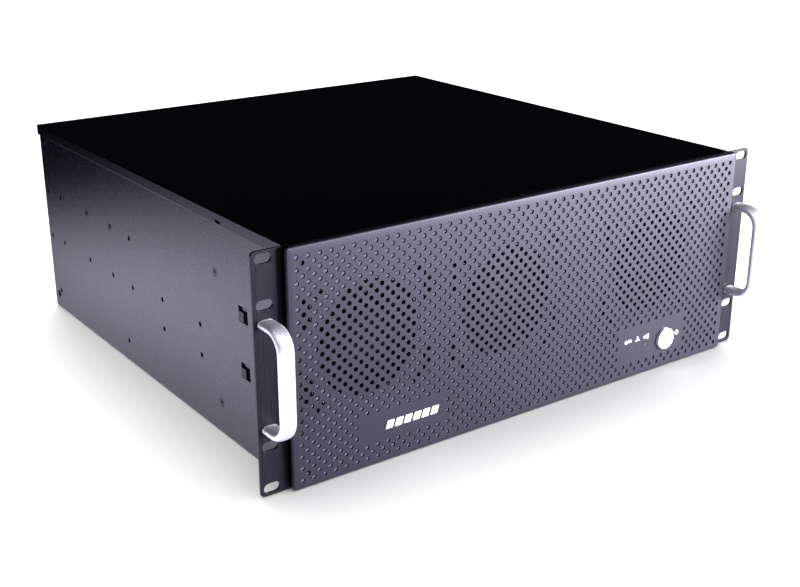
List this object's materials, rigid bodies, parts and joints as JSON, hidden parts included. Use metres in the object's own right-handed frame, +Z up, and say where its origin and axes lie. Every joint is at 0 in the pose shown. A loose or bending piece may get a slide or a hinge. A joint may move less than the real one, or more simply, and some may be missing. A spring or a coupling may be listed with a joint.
{
  "type": "rack-mount storage enclosure",
  "caption": "Rack-mount storage enclosure with a perforated bezel, bail handles, slotted rack ears, fans, drive cage and a sliding top cover.",
  "frame": {"origin": "on the resting plane, at the middle of the overall width and depth", "axes": "+X to the right seen from the front, +Y to the rear, +Z up"},
  "size_m": [0.4826, 0.4764, 0.177],
  "materials": {
    "case_black": "fine black powder coat",
    "ear_black": "smooth satin black coat",
    "bezel_coat": "fine purple-grey black powder coat",
    "handle_metal": "satin anodised, bright",
    "screw_steel": "zinc plated",
    "screw_black": "black oxide",
    "white_plastic": "smooth white with a light gloss",
    "black_plastic": "moulded, fine texture",
    "red_plastic": "smooth",
    "lens_clear": "clear light guide",
    "brass": "turned",
    "board_green": "solder mask over fibreglass",
    "zinc_sheet": "zinc plated sheet",
    "bare_aluminium": "extruded",
    "drive_metal": "cast, satin",
    "supply_grey": "grey coated sheet",
    "cable_sleeve": "braided sleeve"
  },
  "bodies": {
    "enclosure": {"chassis_base": "case_black", "rear_panel": "case_black", "fan_plate": "case_black", "front_top_strip": "case_black", "ear_left": "ear_black", "ear_right": "ear_black", "handle_left": "handle_metal", "handle_right": "handle_metal", "handle_screws": "screw_black", "bezel": "bezel_coat", "bezel_spacers": "brass", "bezel_nuts": "screw_steel", "front_badge": "white_plastic", "bracket_screws": "screw_steel", "brace_screws": "screw_steel", "rear_panel_screws": "screw_steel", "power_switch": "black_plastic", "mute_switch": "black_plastic", "led_lenses": "lens_clear", "control_board": "board_green", "control_standoffs": "brass", "fan_frame_1": "black_plastic", "fan_frame_2": "black_plastic", "fan_frame_3": "black_plastic", "fan_screws": "screw_black", "drive_cage": "zinc_sheet", "drive_retainer": "zinc_sheet", "drive_backplane": "board_green", "cross_brace": "case_black", "main_board": "board_green", "board_standoffs": "brass", "board_parts": "black_plastic", "cpu_heatsink": "bare_aluminium", "memory_modules": "board_green", "io_ports": "zinc_sheet", "storage_card": "board_green", "slot_covers": "zinc_sheet", "slot_screws": "screw_steel", "psu_case": "supply_grey", "psu_inlet": "black_plastic", "psu_switch_frame": "black_plastic", "psu_screws": "screw_steel", "internal_cables": "cable_sleeve", "drive_1": "drive_metal", "drive_2": "drive_metal", "drive_3": "drive_metal", "drive_4": "drive_metal", "drive_5": "drive_metal", "drive_6": "drive_metal", "drive_7": "drive_metal", "drive_8": "drive_metal"},
    "cover": {"top_cover": "case_black", "cover_thumbscrews": "screw_steel"},
    "power_button": {"power_button": "white_plastic"},
    "mute_button": {"mute_button": "black_plastic"},
    "psu_rocker": {"psu_rocker": "red_plastic"},
    "fan_rotor_1": {"fan_rotor_1": "black_plastic"},
    "fan_rotor_2": {"fan_rotor_2": "black_plastic"},
    "fan_rotor_3": {"fan_rotor_3": "black_plastic"},
    "psu_fan_rotor": {"psu_fan_rotor": "black_plastic"}
  },
  "joints": [
    {"name": "cover_slide", "type": "slide", "parent": "enclosure", "child": "cover", "axis": [0, 1, 0], "range_m": [0, 0.19]},
    {"name": "power_button_press", "type": "slide", "parent": "enclosure", "child": "power_button", "axis": [0, 1, 0], "range_m": [0, 0.002], "stiffness_N_per_m": 700},
    {"name": "mute_button_press", "type": "slide", "parent": "enclosure", "child": "mute_button", "axis": [0, 1, 0], "range_m": [0, 0.0008], "stiffness_N_per_m": 900},
    {"name": "psu_switch_rock", "type": "hinge", "parent": "enclosure", "child": "psu_rocker", "pos_m": [0.178, 0.22775, 0.066], "axis": [1, 0, 0], "range_deg": [0, 16]},
    {"name": "fan_1_spin", "type": "hinge", "parent": "enclosure", "child": "fan_rotor_1", "pos_m": [-0.154, -0.20115, 0.099], "axis": [0, 1, 0], "continuous": true},
    {"name": "fan_2_spin", "type": "hinge", "parent": "enclosure", "child": "fan_rotor_2", "pos_m": [-0.03, -0.20115, 0.099], "axis": [0, 1, 0], "continuous": true},
    {"name": "fan_3_spin", "type": "hinge", "parent": "enclosure", "child": "fan_rotor_3", "pos_m": [0.124, -0.20115, 0.099], "axis": [0, 1, 0], "continuous": true},
    {"name": "psu_fan_spin", "type": "hinge", "parent": "enclosure", "child": "psu_fan_rotor", "pos_m": [0.112, 0.21785, 0.047], "axis": [0, 1, 0], "continuous": true}
  ]
}
